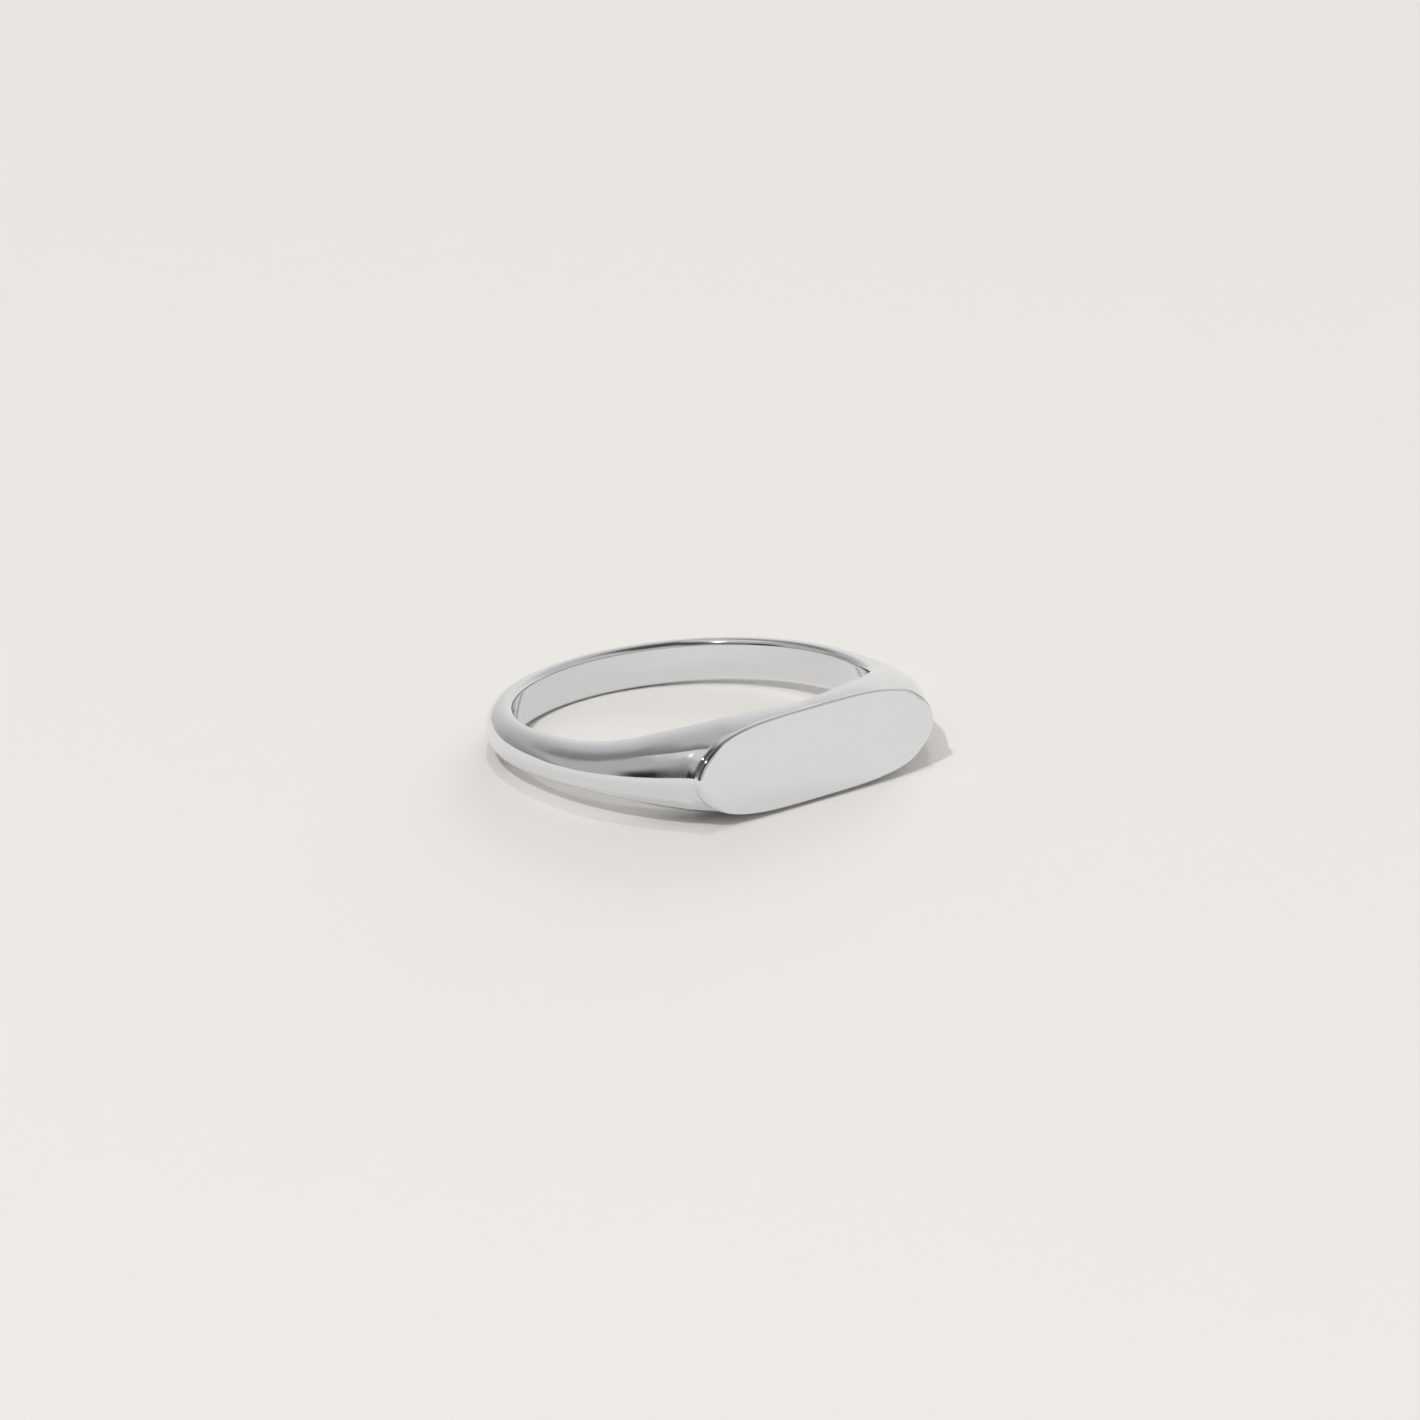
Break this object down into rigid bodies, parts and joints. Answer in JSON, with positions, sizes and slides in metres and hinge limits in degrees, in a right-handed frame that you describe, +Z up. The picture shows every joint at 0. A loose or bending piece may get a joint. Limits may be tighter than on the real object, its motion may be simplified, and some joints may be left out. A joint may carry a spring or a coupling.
{
  "type": "engravable ring",
  "caption": "Slim polished signet ring lying on its side, with a long flat face left blank for engraving and a narrow half round band.",
  "frame": {"origin": "middle of the underside of the ring's bounding box, on the surface that the ring lies on", "axes": "+Z up from that surface, -Y towards the flat face, which tips up by about 4 degrees, and +X along the face"},
  "size_m": [0.0204, 0.0202, 0.0047],
  "materials": {
    "silver": "polished"
  },
  "bodies": {
    "root": {"ring": "silver"}
  },
  "joints": []
}
